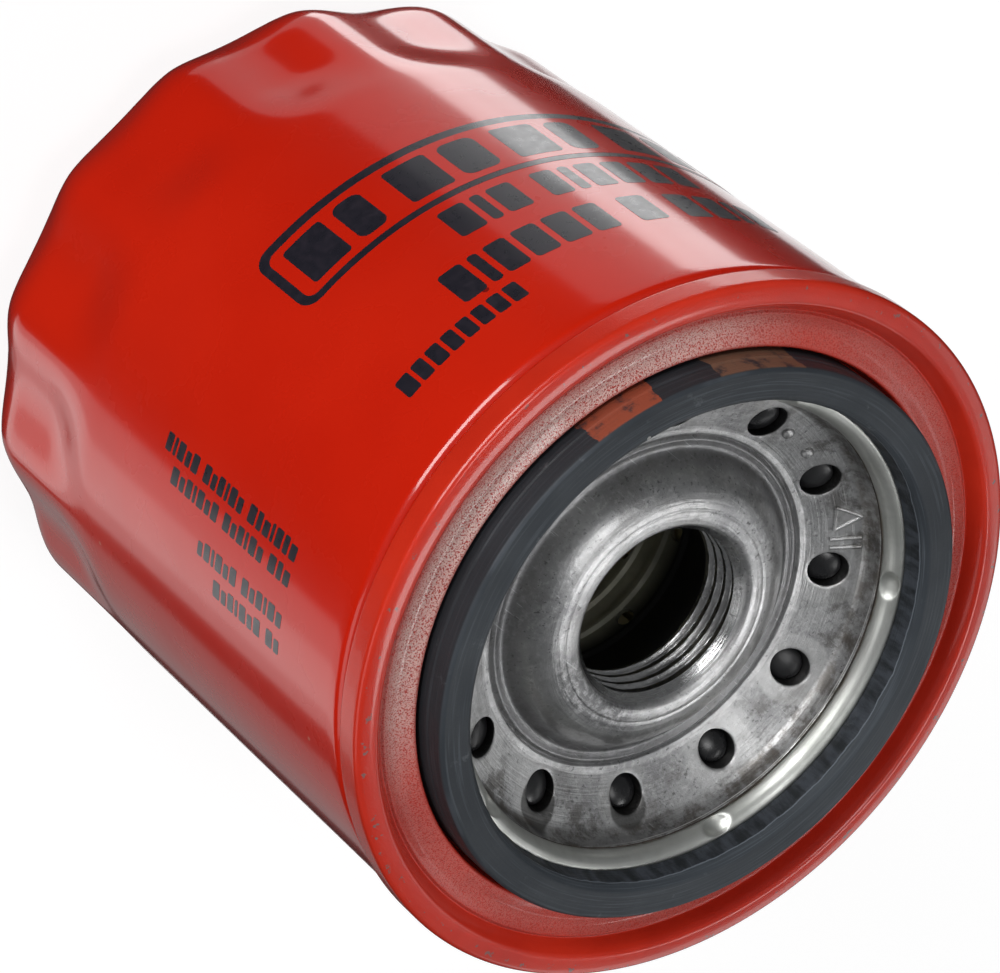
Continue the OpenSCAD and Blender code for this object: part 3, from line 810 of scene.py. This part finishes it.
def plate_cell(hole):
    """Rows of points round one inlet hole: over the top face, down the hole and back underneath."""
    border = sector_border(hole, DISH_IN, CELL_OUT)
    near = hole_ring(border, hole, INLET_R + 0.45)
    rows = [on_face(between(border, near, share), dish_z) for share in (0, 0.33, 0.66, 1)]
    for wide, drop in RIM:
        rows.append(on_face(hole_ring(border, hole, INLET_R + wide), dish_z, drop))
    for wide, drop in ((0.0, -0.15), (0.1, 0.0)):
        rows.append(on_face(hole_ring(border, hole, INLET_R + wide), under_z, drop))
    rows += [on_face(between(near, border, share), under_z) for share in (0, 0.5, 1)]
    return rows


def thread_push(a, r, z):
    """Cuts the right-hand thread outwards from the neck's minor radius."""
    if r > THREAD_R + 0.02 or z > BOSS_Z - 1.3:
        return (r * math.cos(a), r * math.sin(a), z)
    turn = (z / THREAD_PITCH - a / (2 * math.pi)) % 1.0
    groove = max(0.0, 1 - abs(turn - 0.5) / 0.34)
    fade = smooth((BOSS_Z - 1.4 - z) / 0.6) * smooth((z - PLATE_Z0 - 0.15) / 0.5)
    r += 0.55 * min(1.0, groove * 1.3) * fade
    return (r * math.cos(a), r * math.sin(a), z)


def boss_section():
    """The plate's middle: groove and beads at the dish's foot, the boss, its neck and its underside."""
    foot = [(DISH_IN, dish_z(DISH_IN)), (18.98, DISH_FOOT, 0.12), (18.62, FACE_Z - 10.24, 0.12),
            (18.44, FACE_Z - 10.56, 0.05), (18.30, FACE_Z - 10.40, 0.06), (17.95, FACE_Z - 10.22, 0.16),
            (17.66, FACE_Z - 10.36)]
    slope = [(17.66, -10.36), (17.2, -10.50), (16.75, -10.36), (16.25, -9.85), (15.6, -9.0),
             (14.8, -8.15), (13.9, -7.48), (13.0, -7.10), (12.2, -6.95), (11.86, -6.98),
             (11.6, -6.93), (11.0, -6.92), (10.5, -7.0), (10.1, -7.22), (9.75, -7.62),
             (9.45, -8.02), (THREAD_R, -8.34)]
    top = fillet(foot, 4)[:-1] + [(r, FACE_Z + z) for r, z in spline(slope, 4)]
    levels = 72
    drop = (WALL_TOP - PLATE_Z0 - 0.15) / levels
    wall = [(THREAD_R, WALL_TOP - drop * k) for k in range(1, levels + 1)]
    low = [(THREAD_R + 0.25, PLATE_Z0, 0.1), (12.1, PLATE_Z0, 0.2), (12.4, FACE_Z - 10.2, 0.5),
           (13.6, FACE_Z - 10.1, 0.6), (15.4, FACE_Z - 12.3, 0.8), (16.6, PLATE_Z0 + 0.1, 0.5),
           (18.6, PLATE_Z0 + 0.1, 0.5), (DISH_IN, under_z(DISH_IN))]
    return top + wall + fillet(low, 5)


def rim_section():
    """The plate's outer edge from its lower face round to the collar inside the lid's lip."""
    return fillet([(CELL_OUT, under_z(CELL_OUT)), (DISH_OUT, under_z(DISH_OUT)),
                   (PLATE_R, under_z(DISH_OUT), 0.3), (PLATE_R, PLATE_TOP - 0.1, 0.4),
                   (LIP_R + 0.74, PLATE_TOP, 0.1), (LIP_R + 0.74, COLLAR_TOP, 0.05),
                   (LIP_R - 0.03, COLLAR_TOP - 0.02, 0.12), (LIP_R - 0.08, COLLAR_TOP - 0.9, 0.5),
                   (LIP_R - 0.22, COLLAR_TOP - 1.75, 0.5), (LIP_R - 0.5, dish_z(LIP_R - 0.5) + 0.08, 0.4),
                   (CELL_OUT, dish_z(CELL_OUT))], 5)


def make_plate(steel):
    """The plate with its cut thread and its ring of inlet holes."""
    strips = [(boss_section(), thread_push), (rim_section(), None)]
    mesh = ring_of_cells("base_plate_body", strips, plate_cell)
    return finish_piece(mesh, "base_plate_body", "housing", sharp=38, materials=[steel],
                        slot="plate_steel", stands_for=["base_plate"])


def on_dish(radius, degrees):
    """A frame on the dished face: its place, and the ways outwards, sideways and off the face."""
    slope = (dish_z(radius + 0.1) - dish_z(radius - 0.1)) / 0.2
    a = math.radians(degrees)
    normal = Vector((-slope * math.cos(a), -slope * math.sin(a), 1)).normalized()
    out = Vector((math.cos(a), math.sin(a), slope)).normalized()
    return polar(radius, degrees, dish_z(radius)), out, normal.cross(out), normal


def stamped_dot(radius, degrees, size, height):
    """A low dome on the dished face, closed underneath."""
    spot, out, side, normal = on_dish(radius, degrees)
    rows = []
    for wide, tall in [(0.001, -0.1), (1, -0.1)] + [(math.cos(t), math.sin(t)) for t in QUARTER]:
        ring = [out * math.cos(b) + side * math.sin(b) for b in TURN]
        rows.append([spot + way * size * wide + normal * height * tall for way in ring])
    return from_grid("dot", rows)


def stamped_line(path, width, height):
    """A raised line through points given as (radius, degrees), closed at its ends."""
    places = [on_dish(r, d) for r, d in path]
    rows = []
    for i, (spot, _, _, normal) in enumerate(places):
        ahead = places[min(i + 1, len(places) - 1)][0] - places[max(i - 1, 0)][0]
        across = normal.cross(ahead).normalized()
        rows.append([spot + across * width * math.cos(b) + normal * height * math.sin(b) for b in TURN])
    return from_grid("line", [[places[0][0]] * len(TURN)] + rows + [[places[-1][0]] * len(TURN)])


def make_stamps(steel):
    """Small raised marks that the press leaves: two dots, and two plain bars beside a triangle."""
    marks = [stamped_dot(21.9, degrees, 0.70, 0.55) for degrees in (182.8, 172.4)]
    corners = [(22.4, 150.6), (24.6, 146.6), (22.0, 143.4), (22.4, 150.6)]
    for (r0, d0), (r1, d1) in zip(corners, corners[1:]):
        marks.append(stamped_line([(r0 + (r1 - r0) * k / 6, d0 + (d1 - d0) * k / 6) for k in range(7)],
                                  0.24, 0.28))
    for degrees in (140.6, 138.0):
        marks.append(stamped_line([(21.6 + 2.9 * k / 8, degrees) for k in range(9)], 0.24, 0.28))
    bm = bmesh.new()
    for mark in marks:
        bm.from_mesh(mark)
    mesh = bpy.data.meshes.new("plate_stamps")
    bm.to_mesh(mesh)
    bm.free()
    return finish_piece(mesh, "plate_stamps", "housing", materials=[steel], slot="plate_steel")


# ---------- Print on the can ----------

PRINT_R = CAN_R + 0.02


def rounded_patch(d0, d1, z0, z1, corner, lift=0.0):
    """A patch with rounded corners, as columns of a lower and an upper point."""
    width = (d1 - d0) * (CAN_R * math.pi / 180)
    n = max(10, math.ceil(width / 0.5))
    bends = [corner / width * (1 - math.cos(t * math.pi / 16)) for t in range(9)]
    cuts = sorted({k / n for k in range(n + 1)} | set(bends) | {1 - bend for bend in bends})
    low, high = [], []
    for s in cuts:
        edge = min(s, 1 - s) * width
        short = corner - math.sqrt(max(0.0, corner ** 2 - (corner - edge) ** 2)) if edge < corner else 0.0
        d = d0 + (d1 - d0) * s
        low.append(polar(PRINT_R + lift, d, z0 + short))
        high.append(polar(PRINT_R + lift, d, z1 - short))
    return [low, high]


def band_patches():
    """The framed band of blocks: its ink, and the red ground inside the frame."""
    top, low = FACE_Z - 34.0, FACE_Z - 45.0
    ink = [rounded_patch(150.0, 268.6, low, top, 2.0)]
    ground = [rounded_patch(151.6, 267.0, low + 1.25, top - 0.95, 1.2, 0.015)]
    for k in range(11):
        right = 264.6 - 9.6 * k
        wide = (7.6, 5.2, 7.6, 6.4)[k % 4]
        ink.append(rounded_patch(right - wide, right, low + 2.3, top - 2.0, 1.1 if k % 2 else 0.5, 0.03))
    return ink, ground


def row_patches():
    """Three rows of bars round the can, each with its bars' widths; a negative width is a gap."""
    rows = [(32.6, 27.4, 245.0, 1.1, 0.5, (4.6, 1.8, 4.2, -2.4, 3.8, 1.8, 3.8, 4.0, 4.2, 4.4)),
            (24.5, 19.0, 253.0, 1.1, 0.5,
             (4.2, 1.8, 3.8, 4.2, 4.4, 4.0, -2.6, 4.8, -2.6, 4.6, 4.4, 1.8, 4.0)),
            (17.7, 14.8, 269.0, 0.7, 0.3, (2.6, 2.2, 2.4, 2.2, 2.2, 2.2, 2.2, 2.4))]
    patches = []
    for deep, shallow, right, gap, corner, widths in rows:
        for wide in widths:
            if wide > 0:
                patches.append(rounded_patch(right - wide, right, FACE_Z - deep, FACE_Z - shallow, corner))
                right -= wide + gap
            else:
                right += wide
    return patches


def line_patches():
    """Four lines of small bars along the can: their angles, and how deep they reach."""
    lines = [(296.4, 299.3, 43.6), (300.6, 303.4, 41.4), (307.4, 310.2, 35.8), (311.8, 314.6, 31.8)]
    pattern = (1.2, 0.9, 1.2, 0.5, 1.1, 0.9, 1.3, 0.0, 1.0, 1.2, 0.5, 1.1, 0.9, 1.2, 0.0)
    patches = []
    for line, (d0, d1, deep) in enumerate(lines):
        at = FACE_Z - 18.0
        k = line * 4
        while at - 1.3 > FACE_Z - deep:
            bar = pattern[k % len(pattern)]
            if bar:
                patches.append(rounded_patch(d0 + (0.0 if k % 4 else 0.5), d1, at - bar, at, 0.2))
            at -= (bar or 0.5) + 0.34
            k += 1
    return patches


def print_piece(name, patches, material, slot=None):
    """One piece from the patches, each a thin closed shell sunk a little into the paint."""
    bm = bmesh.new()
    for rows in patches:
        bm.from_mesh(from_grid("patch", rows, wrap_turn=False))
    for grown in bmesh.ops.extrude_face_region(bm, geom=bm.faces[:])["geom"]:
        if isinstance(grown, bmesh.types.BMVert):
            grown.co.xy *= (CAN_R - 0.05) / CAN_R
    mesh = bpy.data.meshes.new(name)
    bm.to_mesh(mesh)
    bm.free()
    return finish_piece(mesh, name, "housing", materials=[material], slot=slot)


def make_print(ink, paint):
    """Generic graphics in the place of the print: a framed band of blocks and rows of bars."""
    band, ground = band_patches()
    print_piece("print_bars", band + row_patches() + line_patches(), ink)
    print_piece("print_band_ground", ground, paint, "can_paint")


# ---------- Inner pieces ----------

def coil(name, body, wire, r0, r1, z0, z1, turns, material, node):
    """A compression spring with closed ends, as a round wire along a helix."""
    steps, sides = 48, 14
    count = round(turns * steps)
    flat = 0.8 / turns
    rows = []
    for i in range(count + 1):
        f = i / count
        share = min(1.0, max(0.0, (f - flat) / (1 - 2 * flat)))
        a, r = 2 * math.pi * turns * f, r0 + (r1 - r0) * f
        z = z0 + wire / 2 + (z1 - z0 - wire) * share
        round_wire = [(r + wire / 2 * math.cos(b), z + wire / 2 * math.sin(b))
                      for b in [2 * math.pi * k / sides for k in range(sides)]]
        rows.append([(out * math.cos(a), out * math.sin(a), up) for out, up in round_wire])
    mesh = from_grid(name, rows)
    bm = bmesh.new()
    bm.from_mesh(mesh)
    bmesh.ops.holes_fill(bm, edges=[e for e in bm.edges if e.is_boundary], sides=sides)
    bm.to_mesh(mesh)
    bm.free()
    return finish_piece(mesh, name, body, sharp=60, materials=[material], slot="spring_steel",
                        stands_for=[node])


def make_springs(steel):
    """The element's spring on the dome's cup, and the bypass valve's spring in its cage."""
    _, z0, z1 = reach("element_spring")
    spring = coil("element_spring_coil", "housing", 1.8, 14.7, 11.2, z0, z1, 3.6, steel, "element_spring")
    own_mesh(spring)
    _, z0, z1 = reach("bypass_spring")
    spring = coil("bypass_spring_coil", "element", 0.8, 5.2, 5.2, z0, z1, 4.5, steel, "bypass_spring")
    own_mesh(spring)


def dress_inner_nodes():
    """CAD nodes whose shape is right keep it and get a finished material."""
    cap = sheet_steel("cap_tinned_steel", (0.56, 0.57, 0.55), (0.40, 0.41, 0.39))
    tube = tube_steel()
    zinc = sheet_steel("bypass_yellow_steel", (0.62, 0.52, 0.30), (0.45, 0.36, 0.20))
    paper = soft_solid("filter_paper", (0.84, 0.72, 0.40), (0.70, 0.56, 0.27), 120, 0.85)
    glue = soft_solid("potting_glue", (0.52, 0.44, 0.26), (0.40, 0.32, 0.17), 90, 0.5)
    nylon = soft_solid("poppet_nylon", (0.74, 0.71, 0.62), (0.62, 0.59, 0.50), 80, 0.45)
    rubber = soft_solid("bypass_seal_rubber", (0.020, 0.020, 0.022), (0.012, 0.012, 0.012), 150, 0.5)
    dress = {"upper_end_cap": tube, "lower_end_cap": cap, "spring_seat": cap, "media_seam_clip": cap,
             "centre_tube": tube, "bypass_seat": zinc, "bypass_cage": zinc, "filter_media": paper,
             "upper_potting": glue, "lower_potting": glue, "bypass_poppet": nylon, "bypass_seal": rubber}
    for node, material in dress.items():
        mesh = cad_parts[node].data
        mesh.materials.clear()
        mesh.materials.append(material)


def make_sealant():
    """The thin dirty bead in the groove between the plate's collar and the lid's lip."""
    dark = soft_solid("seam_dirt", (0.050, 0.038, 0.028), (0.022, 0.018, 0.015), 400, 0.6)
    middle, height, thick = LIP_R + 0.04, COLLAR_TOP + 0.08, 0.09

    def push(a, r, z):
        swell = 1 + 0.7 * noise.noise(Vector((math.cos(a) * 21, math.sin(a) * 21, 3.0)))
        r = middle + (r - middle) * swell
        z = height + (z - height) * swell
        return (r * math.cos(a), r * math.sin(a), z)

    ring = [(middle + thick * math.cos(b), height + thick * math.sin(b)) for b in TURN[::2]]
    return lathe("sealant_bead", ring, "housing", segments=360, push=push, materials=[dark])


# ---------- Studio ----------

def area_light(name, way, distance, size, radiance, long=None):
    """A soft box seen from the part in the direction way, with its glow given as a radiance."""
    data = bpy.data.lights.new(name, "AREA")
    long = long or size
    data.shape, data.size, data.size_y = "RECTANGLE", size, long
    data.energy = radiance * math.pi * size * long
    light = bpy.data.objects.new(name, data)
    bpy.context.scene.collection.objects.link(light)
    way = Vector(way).normalized()
    light.location = Vector((0, 0, 0.045)) + way * distance
    light.rotation_mode = "QUATERNION"
    light.rotation_quaternion = (-way).to_track_quat("-Z", "Y")
    light.visible_camera = False


def make_cove():
    """A pale floor that curves up into a wall all round. Only the camera sees it."""
    flat, bend, wall = 1.6, 1.2, 2.4
    section = [(0.001, 0.0), (flat * 0.5, 0.0), (flat, 0.0)]
    section += [(flat + bend * math.sin(t), bend - bend * math.cos(t))
                for t in [math.pi / 2 * k / 16 for k in range(1, 17)]]
    section += [(flat + bend, wall)]
    cove = from_grid("studio_cove", turned([(r / MM, z / MM) for r, z in section], 96))
    for face in cove.polygons:
        face.use_smooth = True
    cove.materials.append(floor_paint())
    cove = bpy.data.objects.new("studio_cove", cove)
    bpy.context.scene.collection.objects.link(cove)
    cove.visible_glossy = False
    cove.visible_diffuse = False
    cove.visible_shadow = False
    cove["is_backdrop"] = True


def make_world():
    """Soft light from above that fades to near black below the horizon."""
    world = bpy.data.worlds.new("studio")
    world.use_nodes = True
    nodes, links = world.node_tree.nodes, world.node_tree.links
    split = nodes.new("ShaderNodeSeparateXYZ")
    links.new(nodes.new("ShaderNodeTexCoord").outputs["Generated"], split.inputs[0])
    fade = nodes.new("ShaderNodeMapRange")
    links.new(split.outputs[2], fade.inputs[0])
    for socket, number in zip(fade.inputs[1:5], (-0.15, 0.55, 0.02, 0.19)):
        socket.default_value = number
    glow = nodes["Background"]
    glow.inputs[0].default_value = (0.96, 0.98, 1.0, 1)
    links.new(fade.outputs[0], glow.inputs[1])
    bpy.context.scene.world = world


def make_studio():
    """A pale cove and soft boxes. The boxes whose reflections run down the can stand
    below the floor, which lets their light by."""
    make_cove()
    make_world()
    bpy.context.scene.view_settings.view_transform = "Standard"
    area_light("key_soft_box", (-0.652, -0.12, -0.74), 0.82, 0.40, 0.45, long=0.46)
    area_light("key_edge_box", (-0.681, 0.145, -0.72), 0.84, 0.23, 2.6, long=0.46)
    area_light("rim_box", (-0.10, 0.69, -0.72), 0.9, 0.55, 0.95, long=0.40)
    area_light("side_soft_box", (0.692, -0.073, -0.72), 0.82, 0.375, 0.70, long=0.50)
    area_light("side_box", (0.693, -0.036, -0.72), 0.84, 0.18, 0.50, long=0.50)
    area_light("side_tail_box", (0.517, 0.466, -0.72), 0.90, 0.39, 0.24, long=0.50)
    area_light("top_box", (-0.10, -0.22, 0.96), 0.8, 0.24, 6.2)
    area_light("back_box", (0.0, 0.50, 0.866), 0.9, 0.32, 6.5, long=0.20)
    area_light("low_back_box", (-0.38, 0.78, 0.50), 0.9, 0.40, 1.0, long=0.30)
    area_light("front_box", (-0.05, -0.95, 0.25), 0.9, 0.55, 10.2, long=0.42)
    area_light("left_fill", (0.85, -0.40, 0.30), 0.9, 0.60, 1.3, long=0.42)
    area_light("back_fill", (0.15, 0.95, 0.25), 1.1, 0.9, 1.4, long=0.50)


def make_camera():
    """The photograph's view: above the threaded end, rolled so that the axis runs down to the right."""
    data = bpy.data.cameras.new("photo_camera")
    data.lens, data.sensor_width = 172.2, 36.0
    camera = bpy.data.objects.new("photo_camera", data)
    bpy.context.scene.collection.objects.link(camera)
    distance, elevation, roll = 0.495, math.radians(45.91), math.radians(129.4)
    aim = Vector((0.00038, 0, 0.04704))
    back = Vector((0, -math.cos(elevation), math.sin(elevation)))
    camera.location = aim + back * distance
    turn = (-back).to_track_quat("-Z", "Y").to_matrix() @ Matrix.Rotation(roll, 3, "Z")
    camera.rotation_mode = "QUATERNION"
    camera.rotation_quaternion = turn.to_quaternion()
    data.clip_start = 0.01
    bpy.context.scene.camera = camera


def main():
    make_camera()
    make_studio()
    red, steel, rubber = can_paint(), plate_steel(), black_rubber()
    make_can(red)
    make_lid(lid_paint(), lip_steel())
    make_gasket(gasket_rubber())
    make_valve(rubber)
    make_plate(steel)
    make_stamps(steel)
    make_sealant()
    make_print(print_ink(), red)
    make_springs(sheet_steel("spring_wire", (0.40, 0.41, 0.43), (0.26, 0.27, 0.28)))
    dress_inner_nodes()


main()
boxes = {"cad": CAD_BOX, "visual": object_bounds()}
{name: [list(corner) for corner in box] for name, box in boxes.items()}
